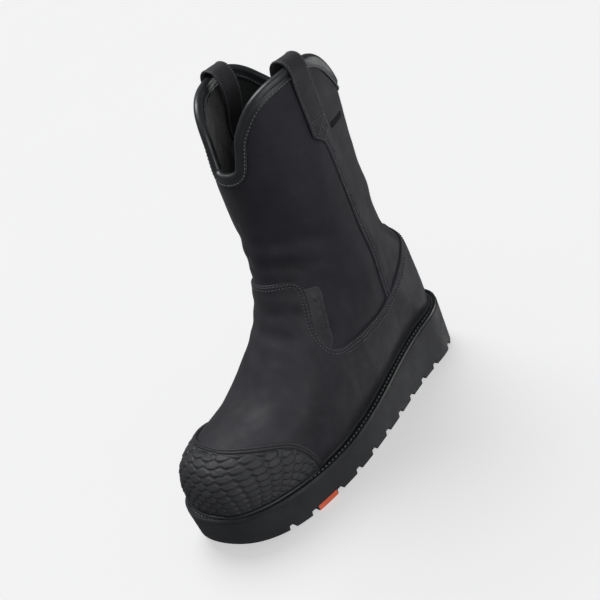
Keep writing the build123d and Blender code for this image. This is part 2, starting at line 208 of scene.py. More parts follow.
def base_grid(v0, v1, nv, nu):
    """Points of the base surface: nv rows from place v0 to v1, nu points round each row.

    Places below 0 are rings that shrink to the tip of the toe.
    """
    at = np.linspace(v0, v1, nv)
    rows = np.stack([monotone(PLACES, ROWS[:, k], np.maximum(at, 0)) for k in range(7)], 1)
    length = np.hypot(rows[:, 2] - rows[:, 0], rows[:, 3] - rows[:, 1])
    dy, dz = (rows[:, 2] - rows[:, 0]) / length, (rows[:, 3] - rows[:, 1]) / length
    # the ring is widest about a third of the way up, a little higher where its sole side is rounder
    widest = WIDEST_AT + WIDEST_RISE * (4.0 - rows[:, 5])
    halves = []
    for start in (-math.pi / 2, math.pi / 2):
        angle = start + np.linspace(0, math.pi, RING_DENSE)
        c, s = np.cos(angle)[None], np.sin(angle)[None]
        n = np.where(s < 0, rows[:, 5:6], rows[:, 6:7])
        reach = np.where(s < 0, widest[:, None], 1 - widest[:, None])
        u = rows[:, 4:5] * np.sign(c) * np.abs(c) ** (2 / n)
        w = length[:, None] * (widest[:, None] + reach * np.sign(s) * np.abs(s) ** (2 / n))
        y = rows[:, 0:1] + dy[:, None] * w
        ring = np.stack([u + spine_x(y), y, rows[:, 1:2] + dz[:, None] * w], -1)
        gaps = np.linalg.norm(np.diff(ring, axis=1), axis=2)
        run = np.concatenate([np.zeros((nv, 1)), np.cumsum(gaps, 1)], 1)
        take = np.linspace(0, 1, nu // 2 + 1)[:-1]
        halves.append(np.stack([[np.interp(take * run[r, -1], run[r], ring[r, :, k]) for k in range(3)]
                                for r in range(nv)]).transpose(0, 2, 1))
    grid = np.concatenate(halves, 1)
    for r in np.where(at < 0)[0]:
        share = at[r] / v0
        centre = grid[r].mean(0)
        grid[r] = centre + (grid[r] - centre) * (1 - share * TOE_SHRINK)
        grid[r, :, 1] -= TOE_DOME * (1 - (1 - share) ** 2)
    return grid


def lean(pos):
    """The soft upper's inner side leans in toward the mouth."""
    out = pos.copy()
    share = smoothstep(pos[..., 2], 225, 322) * smoothstep(-pos[..., 0], -5, 45)
    out[..., 0] += MOUTH_LEAN * share
    return out


def fill_out(pos, normal):
    """Stuffed instep and front of the shaft, and a slimmer back above the heel."""
    z = pos[..., 2]
    front = smoothstep(normal @ FRONT_FACING, 0.15, 0.9)
    front = front * smoothstep(z, 30, 110) * (1 - smoothstep(z, 245, 300))
    rear = smoothstep(normal[..., 1], 0.3, 0.9)
    rear = rear * smoothstep(z, 118, 150) * (1 - smoothstep(z, 160, 190))
    return pos + normal * (FRONT_FILL * front - REAR_SLIM * rear)[..., None]


def grid_normals(grid):
    around = (np.roll(grid, -1, 1) - np.roll(grid, 1, 1)) / 2
    normal = unit(np.cross(around, np.gradient(grid, axis=0)))
    outward = ((grid - grid.mean(1, keepdims=True)) * normal).sum()
    return normal if outward > 0 else -normal


class Sheet:
    """A triangle mesh on the base surface with its normals and named fields."""

    def __init__(self, v0, v1, nv, nu):
        grid = base_grid(v0, v1, nv, nu)
        grid = lean(fill_out(grid, grid_normals(grid)))
        self.pos = grid.reshape(-1, 3)
        self.nor = grid_normals(grid).reshape(-1, 3)
        r, c = np.meshgrid(np.arange(nv - 1), np.arange(nu), indexing="ij")
        a, b = r * nu + c, r * nu + (c + 1) % nu
        quads = np.stack([a, b, b + nu, a + nu], -1).reshape(-1, 4)
        self.tri = np.concatenate([quads[:, [0, 1, 2]], quads[:, [0, 2, 3]]])
        area = np.cross(self.pos[self.tri[:, 1]] - self.pos[self.tri[:, 0]],
                        self.pos[self.tri[:, 2]] - self.pos[self.tri[:, 0]])
        if (area * self.nor[self.tri[:, 0]]).sum() < 0:
            self.tri = self.tri[:, ::-1]
        self.field = {}

    def split(self, name, level, keep=False):
        """Cuts every triangle along field = level, and drops the lower side when keep is set."""
        f = self.field[name] - level
        f = np.where(np.abs(f) < 1e-4, 1e-4, f)
        up = (f > 0)[self.tri]
        count = up.sum(1)
        whole = (count == 3) | ((count == 0) if not keep else False)
        mixed = self.tri[(count == 1) | (count == 2)]
        side = up[(count == 1) | (count == 2)]
        odd_up = side.sum(1) == 1
        odd = np.where(odd_up[:, None], side, ~side).argmax(1)
        index = np.arange(len(mixed))
        p, q, r = mixed[index, odd], mixed[index, (odd + 1) % 3], mixed[index, (odd + 2) % 3]
        edges = np.concatenate([np.stack([p, q], 1), np.stack([p, r], 1)])
        key, inverse = np.unique(np.sort(edges, 1), axis=0, return_inverse=True)
        inverse = inverse.reshape(-1)
        first = len(self.pos)
        low, high = key.T
        share = f[low] / (f[low] - f[high])
        wide = share[:, None]
        self.pos = np.vstack([self.pos, self.pos[low] * (1 - wide) + self.pos[high] * wide])
        self.nor = unit(np.vstack([self.nor, self.nor[low] * (1 - wide) + self.nor[high] * wide]))
        for k, v in self.field.items():
            self.field[k] = np.concatenate([v, v[low] * (1 - share) + v[high] * share])
        c1, c2 = first + inverse[:len(mixed)], first + inverse[len(mixed):]
        tip = np.stack([p, c1, c2], 1)
        rest = np.concatenate([np.stack([c1, q, r], 1), np.stack([c1, r, c2], 1)])
        if keep:
            tip, rest = tip[odd_up], rest[np.concatenate([~odd_up, ~odd_up])]
        self.tri = np.concatenate([self.tri[whole], tip, rest])
        self.compact()
        return self

    def compact(self):
        """Drops the points that no triangle uses."""
        used, inverse = np.unique(self.tri, return_inverse=True)
        self.tri = inverse.reshape(-1, 3)
        self.pos, self.nor = self.pos[used], self.nor[used]
        self.field = {k: v[used] for k, v in self.field.items()}

    def cut(self, name, levels=(), keep=0.0):
        """Keeps the side where the field is above keep, with edge loops at the levels."""
        self.split(name, keep, keep=True)
        for level in levels:
            self.split(name, level)
        return self

    def copy(self):
        other = object.__new__(Sheet)
        other.pos, other.nor, other.tri = self.pos.copy(), self.nor.copy(), self.tri.copy()
        other.field = dict(self.field)
        return other


BATCH = 20000


def side_distance(sheet, line, corners):
    """Distance of each point, along the surface, from a side-view line; positive inside line + corners."""
    yz = sheet.pos[:, 1:]
    a, b = line[:-1], line[1:]
    polygon = np.vstack([line, np.array(corners, float).reshape(-1, 2)])
    best = np.full(len(yz), 1e9)
    grad = np.zeros((len(yz), 2))
    inside = np.zeros(len(yz), bool)
    ring_a, ring_b = polygon, np.roll(polygon, -1, 0)
    for s in range(0, len(yz), BATCH):
        p = yz[s:s + BATCH]
        ab = b - a
        t = np.clip(((p[:, None] - a) * ab).sum(2) / np.maximum((ab * ab).sum(1), 1e-9), 0, 1)
        gap = p[:, None] - (a + t[..., None] * ab)
        d = np.hypot(gap[..., 0], gap[..., 1])
        k = d.argmin(1)
        i = np.arange(len(p))
        best[s:s + BATCH] = d[i, k]
        grad[s:s + BATCH] = gap[i, k] / np.maximum(d[i, k], 1e-6)[:, None]
        y, z = p[:, 0:1], p[:, 1:2]
        crosses = (ring_a[:, 1] > z) != (ring_b[:, 1] > z)
        rise = ring_b[:, 1] - ring_a[:, 1]
        rise = np.where(np.abs(rise) < 1e-9, 1e-9, rise)
        at = ring_a[:, 0] + (z - ring_a[:, 1]) / rise * (ring_b[:, 0] - ring_a[:, 0])
        inside[s:s + BATCH] = (crosses & (y < at)).sum(1) % 2 == 1
    facing = (grad * sheet.nor[:, 1:]).sum(1)
    best = best / np.maximum(0.3, np.sqrt(np.maximum(0, 1 - facing**2)))
    return np.where(inside, best, -best)


SOLE_LINE = smooth_curve(SOLE_TOP)


def sole_z(y):
    return np.interp(y, SOLE_LINE[:, 0], SOLE_LINE[:, 1])


def rounded(d, radius):
    """0 at an edge, 1 from radius inward, along a quarter circle."""
    t = np.clip(d / radius, 0, 1)
    return np.sqrt(1 - (1 - t) ** 2)


rng = np.random.default_rng(11)


def wave_set(count, shortest, longest):
    """Random plane waves: directions with lengths between two limits, and phases."""
    direction = unit(rng.normal(size=(count, 3)))
    length = rng.uniform(shortest, longest, count)
    return direction / length[:, None] * 2 * math.pi, rng.uniform(0, 2 * math.pi, count)


BROAD = wave_set(14, 38, 90)
FINE = wave_set(22, 9, 22)


def waves(pos, which):
    k, phase = which
    return np.sin(pos @ k.T + phase).sum(1) / math.sqrt(len(phase))


def valley(d, centre, width):
    """A smooth bump of height 1 along d = centre."""
    return np.exp(-((d - centre) / width) ** 2)


# ---------------------------------------------------------------- meshes
def make_mesh(name, verts, faces, node_names, material):
    """A smooth-shaded object from points in millimetres, riding the boot's one body."""
    mesh = bpy.data.meshes.new(name)
    mesh.from_pydata((np.asarray(verts) * MM).tolist(), [], [list(map(int, f)) for f in faces])
    mesh.validate()
    mesh.update()
    mesh.polygons.foreach_set("use_smooth", [True] * len(mesh.polygons))
    mesh.materials.append(material)
    obj = bpy.data.objects.new(name, mesh)
    bpy.context.scene.collection.objects.link(obj)
    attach(obj, BODY)
    if node_names:
        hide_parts(*node_names)
    return obj


def shell(name, sheet, outer, inner, node_names, material):
    """Closed shell between two heights over the base surface."""
    top = sheet.pos + sheet.nor * np.asarray(outer)[..., None]
    low = sheet.pos + sheet.nor * np.broadcast_to(np.asarray(inner, float), len(sheet.pos))[..., None]
    sheet.top = top
    n = len(top)
    tri = sheet.tri
    edges = np.concatenate([tri[:, [0, 1]], tri[:, [1, 2]], tri[:, [2, 0]]])
    code = edges[:, 0].astype(np.int64) * n + edges[:, 1]
    back = edges[:, 1].astype(np.int64) * n + edges[:, 0]
    rim = edges[~np.isin(code, back)]
    faces = tri.tolist() + (tri[:, ::-1] + n).tolist()
    faces += np.stack([rim[:, 1], rim[:, 0], rim[:, 0] + n, rim[:, 1] + n], 1).tolist()
    return make_mesh(name, np.vstack([top, low]), faces, node_names, material)


def isoline(sheet, name, level, where=None):
    """Runs of (points on the outer surface, normals) along field = level."""
    f = sheet.field[name] - level
    f = np.where(np.abs(f) < 1e-4, 1e-4, f)
    up = (f > 0)[sheet.tri]
    mixed = sheet.tri[(up.sum(1) > 0) & (up.sum(1) < 3)]
    links = {}
    place = {}
    for tri in mixed.tolist():
        hits = []
        for a, b in ((tri[0], tri[1]), (tri[1], tri[2]), (tri[2], tri[0])):
            if (f[a] > 0) != (f[b] > 0):
                key = (min(a, b), max(a, b))
                if key not in place:
                    s = f[key[0]] / (f[key[0]] - f[key[1]])
                    place[key] = (sheet.top[key[0]] * (1 - s) + sheet.top[key[1]] * s,
                                  sheet.nor[key[0]] * (1 - s) + sheet.nor[key[1]] * s)
                hits.append(key)
        if len(hits) == 2:
            links.setdefault(hits[0], []).append(hits[1])
            links.setdefault(hits[1], []).append(hits[0])
    left = set(links)
    runs = []
    while left:
        ends = [k for k in left if len([m for m in links[k] if m in left]) <= 1]
        current = min(ends) if ends else min(left)
        chain = [current]
        left.discard(current)
        while True:
            following = [m for m in links[current] if m in left]
            if not following:
                break
            current = following[0]
            left.discard(current)
            chain.append(current)
        closed = len(chain) > 8 and chain[0] in links[chain[-1]]
        if closed:
            chain.append(chain[0])
        points = np.array([place[k][0] for k in chain])
        normals = unit(np.array([place[k][1] for k in chain]))
        good = np.ones(len(points), bool) if where is None else where(points)
        cuts = np.where(np.diff(good.astype(int)) != 0)[0] + 1
        for part in np.split(np.arange(len(points)), cuts):
            if len(part) > 3 and good[part[0]]:
                runs.append((points[part], normals[part]))
    return [run for run in runs if np.linalg.norm(np.diff(run[0], axis=0), axis=1).sum() > 6]


def resample(points, normals, pitch):
    """The same run with its points evenly spaced, about pitch apart."""
    run = np.concatenate([[0], np.cumsum(np.linalg.norm(np.diff(points, axis=0), axis=1))])
    count = max(2, int(round(run[-1] / pitch)))
    at = np.linspace(0, run[-1], count + 1)
    p = np.stack([np.interp(at, run, points[:, k]) for k in range(3)], 1)
    n = unit(np.stack([np.interp(at, run, normals[:, k]) for k in range(3)], 1))
    return p, n


def stitches(name, runs, material, pitch=3.0, width=0.95, rise=0.55, share=0.74, node_names=()):
    """Rows of short rounded stitches lying on a surface and diving in at both ends."""
    sides, stations = 6, np.array([-1, -0.8, -0.3, 0.3, 0.8, 1])
    fat = np.array([0.45, 0.85, 1, 1, 0.85, 0.45])
    verts, faces = [], []
    count = 0
    for points, normals in runs:
        p, n = resample(points, normals, pitch)
        for a, b, na, nb in zip(p[:-1], p[1:], n[:-1], n[1:]):
            along = b - a
            length = np.linalg.norm(along)
            if length < 0.4:
                continue
            along = along / length
            up = unit(na + nb)
            across = unit(np.cross(up, along))
            up = np.cross(along, across)
            middle = (a + b) / 2
            for s, w in zip(stations, fat):
                ring_centre = middle + along * s * length * share / 2 + up * (rise * 0.45 - rise * 1.1 * s**4)
                for k in range(sides):
                    turn = 2 * math.pi * k / sides
                    verts.append(ring_centre + across * math.cos(turn) * w * width / 2
                                 + up * math.sin(turn) * w * rise)
            for s in range(len(stations) - 1):
                for k in range(sides):
                    i, j = count + s * sides + k, count + s * sides + (k + 1) % sides
                    faces.append((i, j, j + sides, i + sides))
            faces.append(tuple(count + k for k in reversed(range(sides))))
            faces.append(tuple(count + (len(stations) - 1) * sides + k for k in range(sides)))
            count += len(stations) * sides
    return make_mesh(name, verts, faces, node_names, material)


def down_along(points, normals):
    """Unit directions across a closed line, in the surface and pointing down."""
    along = unit(np.roll(points, -1, 0) - np.roll(points, 1, 0))
    down = unit(np.cross(along, normals))
    return -down if down[:, 2].mean() > 0 else down


def sweep(name, points, normals, profile, node_names, material):
    """Closed profile of (out, down) points carried round a closed line."""
    p, n = points, unit(normals)
    down = down_along(p, n)
    k = len(profile)
    rings = p[:, None] + n[:, None] * profile[None, :, 0:1] + down[:, None] * profile[None, :, 1:2]
    verts = rings.reshape(-1, 3)
    count = len(p)
    faces = []
    for i in range(count):
        j = (i + 1) % count
        for m in range(k):
            faces.append((i * k + m, i * k + (m + 1) % k, j * k + (m + 1) % k, j * k + m))
    obj = make_mesh(name, verts, faces, node_names, material)
    fix_normals(obj)
    return obj


def fix_normals(obj):
    bm = bmesh.new()
    bm.from_mesh(obj.data)
    bmesh.ops.recalc_face_normals(bm, faces=bm.faces)
    bm.to_mesh(obj.data)
    bm.free()


def smooth_loop(values, rounds):
    """Averages each row of a closed loop with its neighbours."""
    for _ in range(rounds):
        values = (np.roll(values, 1, 0) + 2 * values + np.roll(values, -1, 0)) / 4
    return values


# ---------------------------------------------------------------- materials
def new_material(name):
    material = bpy.data.materials.new(name)
    material.use_nodes = True
    tree = material.node_tree
    return material, tree, tree.nodes["Principled BSDF"]


def object_coords(tree):
    node = tree.nodes.get("coords") or tree.nodes.new("ShaderNodeTexCoord")
    node.name = "coords"
    return node.outputs["Object"]


def noise(tree, scale, detail=3.0, roughness=0.55):
    node = tree.nodes.new("ShaderNodeTexNoise")
    node.inputs["Scale"].default_value = scale
    node.inputs["Detail"].default_value = detail
    node.inputs["Roughness"].default_value = roughness
    tree.links.new(object_coords(tree), node.inputs["Vector"])
    return node.outputs["Fac"]


def cells(tree, scale, feature="DISTANCE_TO_EDGE"):
    node = tree.nodes.new("ShaderNodeTexVoronoi")
    node.feature = feature
    node.inputs["Scale"].default_value = scale
    tree.links.new(object_coords(tree), node.inputs["Vector"])
    return node.outputs["Distance"]


def ramp(tree, source, stops):
    """A blend between two stops, each (position, colour)."""
    node = tree.nodes.new("ShaderNodeValToRGB")
    for element, (position, colour) in zip(node.color_ramp.elements, stops):
        element.position, element.color = position, (*colour, 1)
    tree.links.new(source, node.inputs["Fac"])
    return node.outputs["Color"]


def bump(tree, shader, layers):
    """Stacks bump layers given as (height source, strength, distance in metres)."""
    normal = None
    for source, strength, distance in layers:
        node = tree.nodes.new("ShaderNodeBump")
        node.inputs["Strength"].default_value = strength
        node.inputs["Distance"].default_value = distance
        tree.links.new(source, node.inputs["Height"])
        if normal is not None:
            tree.links.new(normal, node.inputs["Normal"])
        normal = node.outputs["Normal"]
    tree.links.new(normal, shader.inputs["Normal"])


def surface(name, dark, light, rough, spread, blotch=26.0, specular=0.4, layers=(), sheen=0.0, metallic=0.0):
    """Two-tone procedural finish with uneven roughness (rough +- spread) and stacked bump."""
    material, tree, shader = new_material(name)
    tone = ramp(tree, noise(tree, blotch, 5.0, 0.6), [(0.32, dark), (0.68, light)])
    tree.links.new(tone, shader.inputs["Base Color"])
    gloss = ramp(tree, noise(tree, blotch * 2.7, 4.0),
                 [(0.3, (rough - spread,) * 3), (0.7, (rough + spread,) * 3)])
    tree.links.new(gloss, shader.inputs["Roughness"])
    shader.inputs["Specular IOR Level"].default_value = specular
    shader.inputs["Metallic"].default_value = metallic
    if sheen:
        shader.inputs["Sheen Weight"].default_value = sheen
        shader.inputs["Sheen Roughness"].default_value = 0.45
    if layers:
        bump(tree, shader, [(make(tree), strength, distance) for make, strength, distance in layers])
    return material


def grain(tree):
    return cells(tree, 1500, "SMOOTH_F1")


def pores(tree):
    return noise(tree, 2600, 2.0)


def soft_dents(tree):
    return noise(tree, 160, 4.0, 0.6)


def speckle(tree):
    return noise(tree, 1100, 3.0)


def knit(tree):
    return cells(tree, 900)


LEATHER_LAYERS = [(soft_dents, 0.22, 0.0006), (grain, 0.16, 0.0002), (pores, 0.18, 0.0001)]
leather = surface("waxed_nubuck", (0.0135, 0.0125, 0.0175), (0.023, 0.0215, 0.029), 0.66, 0.05,
                  specular=0.34, layers=LEATHER_LAYERS, sheen=0.05)
vamp_leather = surface("vamp_nubuck", (0.0148, 0.0137, 0.0185), (0.032, 0.0308, 0.038), 0.64, 0.06,
                       specular=0.34, layers=LEATHER_LAYERS, sheen=0.05)
strap_leather = surface("strap_nubuck", (0.016, 0.0158, 0.0185), (0.029, 0.029, 0.033), 0.55, 0.07,
                        specular=0.38, layers=LEATHER_LAYERS, sheen=0.05)
binding_leather = surface("binding_leather", (0.012, 0.0138, 0.016), (0.019, 0.0215, 0.0245), 0.36, 0.05, 60,
                          specular=0.5, layers=[(soft_dents, 0.12, 0.0004), (pores, 0.10, 0.0001)])
# dark thread, its colour lifted a little above the leather's: partly the thread's own tone, partly painted
# sheen
thread_with_painted_sheen = surface("thread_with_painted_sheen", (0.055, 0.057, 0.064), (0.105, 0.108, 0.118), 0.45, 0.06, 300,
                 specular=0.5, layers=[(speckle, 0.4, 0.0002)])
# a lighter copy of the thread for the welt and binding stitches: painted highlight, brightened against the
# shade they sit in
painted_highlight_thread = surface("painted_highlight_thread", (0.07, 0.074, 0.08), (0.14, 0.145, 0.15), 0.42, 0.06, 300,
                      specular=0.5, layers=[(speckle, 0.4, 0.0002)])
lining_cloth = surface("lining_felt", (0.008, 0.0092, 0.0086), (0.018, 0.0205, 0.019), 0.9, 0.05, 420,
                       specular=0.15, layers=[(speckle, 0.9, 0.0009), (knit, 0.5, 0.0004)], sheen=0.35)
guard_rubber = surface("guard_rubber", (0.026, 0.0265, 0.0295), (0.038, 0.0385, 0.0425), 0.56, 0.06, 40,
                       specular=0.38, layers=[(speckle, 0.25, 0.0002)])
sole_rubber = surface("sole_rubber", (0.0225, 0.0232, 0.0256), (0.0345, 0.0354, 0.039), 0.60, 0.06, 30,
                      specular=0.32, layers=[(soft_dents, 0.10, 0.0004), (speckle, 0.25, 0.0002)])
welt_rubber = surface("welt_rubber", (0.013, 0.0145, 0.0155), (0.023, 0.0255, 0.0275), 0.44, 0.05, 60,
                      specular=0.5, layers=[(speckle, 0.2, 0.0002)])
accent_rubber = surface("accent_rubber", (0.78, 0.13, 0.055), (0.95, 0.19, 0.09), 0.55, 0.05, 60,
                        specular=0.4, layers=[(speckle, 0.25, 0.0002)])
label_cloth = surface("label_weave", (0.008, 0.008, 0.009), (0.017, 0.017, 0.018), 0.85, 0.05, 900,
                      specular=0.2, layers=[(knit, 0.8, 0.0003)])
footbed_cloth = surface("footbed_cloth", (0.02, 0.02, 0.021), (0.045, 0.045, 0.047), 0.85, 0.05, 700,
                        specular=0.2, layers=[(knit, 0.6, 0.0004)], sheen=0.2)
board = surface("fibre_board", (0.26, 0.19, 0.115), (0.42, 0.33, 0.22), 0.8, 0.06, 500,
                specular=0.3, layers=[(speckle, 0.4, 0.0003)])
foam = surface("lamination_foam", (0.15, 0.15, 0.15), (0.26, 0.26, 0.26), 0.9, 0.04, 800,
               specular=0.2, layers=[(knit, 0.6, 0.0005)])
midsole_foam = surface("midsole_foam", (0.03, 0.03, 0.033), (0.07, 0.07, 0.075), 0.75, 0.05, 500,
                       specular=0.3, layers=[(knit, 0.4, 0.0004)])
steel = surface("brushed_steel", (0.42, 0.43, 0.44), (0.62, 0.63, 0.64), 0.33, 0.08, 200,
                layers=[(speckle, 0.15, 0.0001)], metallic=1.0)
counter_plastic = surface("counter_plastic", (0.13, 0.13, 0.13), (0.22, 0.22, 0.22), 0.5, 0.06, 120,
                          layers=[(speckle, 0.3, 0.0002)])

CAD_FINISH = {
    "outsole": sole_rubber, "accent_lug": accent_rubber, "midsole": midsole_foam, "shank": steel,
    "welt": welt_rubber, "insole_board": board, "footbed": footbed_cloth, "steel_toe_cap": steel,
    "heel_counter": counter_plastic, "foam_layer": foam,
}
for node_name, material in CAD_FINISH.items():
    node = frame["nodes"][node_name]
    node.data.materials.clear()
    node.data.materials.append(material)

# ---------------------------------------------------------------- the upper
# NV rows from the toe up to the collar, NU points round each
NV, NU = ((420, 320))
END = PLACES[-1]
whole = Sheet(TOE_START, END - 0.01, NV, NU)
line_vamp, line_collar = smooth_curve(VAMP_EDGE), smooth_curve(COLLAR)
line_guard, line_seam = smooth_curve(GUARD_EDGE), smooth_curve(SIDE_SEAM, 3)
VAMP_CORNERS = [(170, -20), (-200, -20), (-200, 169)]
COLLAR_CORNERS = [(162, -20), (-12, -20)]
GUARD_CORNERS = [(-200, 16), (-200, 100)]
SEAM_CORNERS = [(-200, 60), (-200, 345)]
whole.field["vamp"] = side_distance(whole, line_vamp, VAMP_CORNERS)
whole.field["collar"] = side_distance(whole, line_collar, COLLAR_CORNERS)
whole.field["sole"] = whole.pos[:, 2] - sole_z(whole.pos[:, 1])
whole.field["front"] = side_distance(whole, line_seam, SEAM_CORNERS)


def instep_folds(pos):
    """Soft creases across the front of the ankle, deepest at the middle of the instep."""
    facing = smoothstep(-pos[:, 1], -62, -8)
    wave = np.sin((pos[:, 2] + 0.35 * pos[:, 1] + 4 * np.sin(pos[:, 0] / 17)) * 2 * math.pi / 21)
    return wave * facing * smoothstep(pos[:, 2], 104, 128) * (1 - smoothstep(pos[:, 2], 196, 226))


def ankle_folds(pos):
    """Slanting soft folds behind the ankle bone."""
    wave = np.sin((pos[:, 2] * 0.8 + 0.75 * pos[:, 1]) * 2 * math.pi / 30 + 0.8)
    return wave * smoothstep(pos[:, 1], 62, 116) * smoothstep(pos[:, 2], 118, 148) * (
        1 - smoothstep(pos[:, 2], 206, 246))


def leather_relief(pos, d):
    """Unevenness of the leather, calm near the edge that d is measured from and over the toe."""
    calm = smoothstep(d, 0, 14)
    toe = smoothstep(pos[:, 1], -92, -40)
    return calm * (waves(pos, BROAD) * 0.35 * (0.35 + 0.65 * toe) + waves(pos, FINE) * 0.05
                   + instep_folds(pos) * 0.42 + ankle_folds(pos) * 0.4)


# the vamp: edge loops where its edge rounds over and where the stitch grooves run
EDGE_CUTS = (0.25, 0.6, 1.1, 1.6, 2.1, 2.6, 3.4, 4.3, 4.8, 5.3)
REAR_EDGE_FROM = 60
vamp = whole.copy()
vamp.cut("vamp", EDGE_CUTS).cut("sole", keep=WELT)
d = vamp.field["vamp"]
groove = sum(valley(d, row, GROOVE_WIDTH) for row in STITCH_ROWS)
height = 0.05 + (VAMP - 0.05) * (0.3 + 0.7 * rounded(d, EDGE_ROUND))
height = height - 0.3 * groove + 0.15 * valley(d, 3.4, 0.8) + leather_relief(vamp.pos, d)
shell("vamp_leather_upper", vamp, height, 0.02, ["vamp"], vamp_leather)
rows = isoline(vamp, "vamp", STITCH_ROWS[0]) + isoline(vamp, "vamp", STITCH_ROWS[1])
rows += isoline(vamp, "vamp", THIRD_ROW, lambda p: (p[:, 1] > 9) & (p[:, 2] < 130))
stitches("vamp_stitching", rows, thread_with_painted_sheen, pitch=THREAD_PITCH)

# shaft panels: the back panel laps over the front ones at the side seams
panel = whole.copy()
panel.field["below_vamp"] = -panel.field["vamp"] + UNDERLAP
panel.cut("below_vamp").cut("collar", keep=0.6).cut("sole", keep=20.0)
back = panel.copy()
back.field["back"] = -back.field["front"]
back.cut("back", EDGE_CUTS)
d = back.field["back"]
relief = leather_relief(back.pos, np.minimum(d, -back.field["vamp"]) + 2)
groove = sum(valley(d, row, GROOVE_WIDTH) for row in SEAM_ROWS)
height = 0.75 * rounded(d, EDGE_ROUND) - 0.2 * groove - 0.75 * smoothstep(d, 6.5, 16)
shell("shaft_back_panel", back, height + relief, -LEATHER + 0.05, ["shaft_back"], leather)


def above_vamp_edge(p):
    """The part of the side seam that shows: above the low, rear stretch of the vamp's edge."""
    rear_edge = line_vamp[REAR_EDGE_FROM:]
    return p[:, 2] > np.interp(p[:, 1], rear_edge[:, 0], rear_edge[:, 1]) - 0.5


seam_rows = [run for row in SEAM_ROWS for run in isoline(back, "back", row, above_vamp_edge)]
stitches("side_seam_stitching", seam_rows, thread_with_painted_sheen, pitch=THREAD_PITCH)
panel.field["lap"] = panel.field["front"] + 0.2
panel.cut("lap", (0.6, 1.6))
for node_name, sign in (("shaft_front_lateral", 1), ("shaft_front_medial", -1)):
    front = panel.copy()
    front.field["half"] = sign * (front.pos[:, 0] - SEAM_X) - 0.05
    front.cut("half")
    d = front.field["lap"]
    relief = leather_relief(front.pos, np.minimum(d, -front.field["vamp"] + 2))
    shell(node_name + "_panel", front, relief - 0.25 * valley(d, 0, 0.9), -LEATHER + 0.05, [node_name],
          leather)

# backstay: strip over the back seam, lying on the vamp low down and on the shaft above it
stay = Sheet(END * 0.38, END * 0.86, NV, NU)
stay.field["strip"] = np.where(stay.pos[:, 1] > 70, BACKSTAY_HALF - np.abs(stay.pos[:, 0] - SEAM_X), -50)
stay.field["top"] = BACKSTAY_TOP - stay.pos[:, 2]
stay.field["sole"] = stay.pos[:, 2] - sole_z(stay.pos[:, 1])
stay.field["vamp"] = side_distance(stay, line_vamp, VAMP_CORNERS)
stay.cut("strip", (0.25, 0.7, 1.2, 1.8, 2.4, 3.0)).cut("top", (0.3, 0.8, 1.4)).cut("sole", keep=WELT + 1)
d = np.minimum(stay.field["strip"], stay.field["top"])
under = VAMP * smoothstep(stay.field["vamp"], -1.5, 0.8)
height = under + 0.1 + 1.3 * rounded(d, 1.2) - 0.2 * valley(stay.field["strip"], BACKSTAY_ROW, 0.45)
height = height + leather_relief(stay.pos, np.full(len(d), 20.0))
shell("backstay_strip", stay, height, under * 0.9, ["backstay"], vamp_leather)
stitches("backstay_stitching", isoline(stay, "strip", BACKSTAY_ROW), thread_with_painted_sheen,
         pitch=THREAD_PITCH)

# side tabs: plain tabs tucked behind the vamp's side edges, with a row of plain round studs
STUD_TOP, STUD_FOOT, STUD_RADIUS = (12.6, 143), (8.0, 114), 1.9
studs = np.linspace(STUD_TOP, STUD_FOOT, 5)
tab_line = np.vstack([np.array(TAB, float), TAB[0]])
for node_name, sign in (("side_tab_lateral", 1), ("side_tab_medial", -1)):
    tab = whole.copy()
    tab.field["half"] = sign * tab.pos[:, 0] - 5
    tab.field["out"] = 0.4 - tab.field["vamp"]
    tab.cut("half").cut("out")
    tab.field["tab"] = side_distance(tab, tab_line, [])
    tab.cut("tab", (0.3, 0.8, 1.3, 1.8, 2.3))
    d = tab.field["tab"]
    from_stud = [np.hypot(tab.pos[:, 1] - y, tab.pos[:, 2] - z) / STUD_RADIUS for y, z in studs]
    stud = sum(np.exp(-(reach**4)) for reach in from_stud)
    height = 0.15 + 0.85 * rounded(d, 1.0) - 0.15 * valley(d, TAB_ROW, 0.4) + 0.55 * stud
    relief = leather_relief(tab.pos, -tab.field["vamp"] + 2)
    shell(node_name + "_piece", tab, height + relief, relief + 0.02, [node_name],
          strap_leather)
    rows = isoline(tab, "tab", TAB_ROW, lambda p: p[:, 1] > 6)
    stitches(node_name + "_stitching", rows, thread_with_painted_sheen, pitch=2.6, width=0.8, rise=0.45)

# ---------------------------------------------------------------- toe guard with scales and a two-rib rim
guard = Sheet(TOE_START, PLACES[5], 300, 520)
guard.field["guard"] = side_distance(guard, line_guard, GUARD_CORNERS)
guard.field["sole"] = guard.pos[:, 2] - sole_z(guard.pos[:, 1])
guard.cut("sole", keep=WELT + 1.2)
rim = guard.copy()
rim.cut("guard", (0.3, 0.6, 1.0, 1.4, 1.8, 2.2, 2.6, 3.0, 3.4, 3.8))
rim.field["in"] = RIM_WIDTH + 0.3 - rim.field["guard"]
rim.cut("in")
d = rim.field["guard"]
rib = RIM_WIDTH / 4
ribs = sum(np.sqrt(np.maximum(0, 1 - ((d - centre) / rib) ** 2)) for centre in (rib, 3 * rib))
shell("guard_rim_ribs", rim, VAMP + 1.5 + 1.35 * ribs * smoothstep(d, -0.1, 0.3), VAMP * 0.4, ["guard_rim"],
      guard_rubber)
guard.cut("guard", (RIM_WIDTH + 0.7, RIM_WIDTH + 1.4, RIM_WIDTH + 2.2), keep=RIM_WIDTH)

SCALE_CENTRE_Y = -93.0
SCALE_RADIUS = 50.0
SCALE_ROW = 6.2
SCALE_WIDTH = 9.6


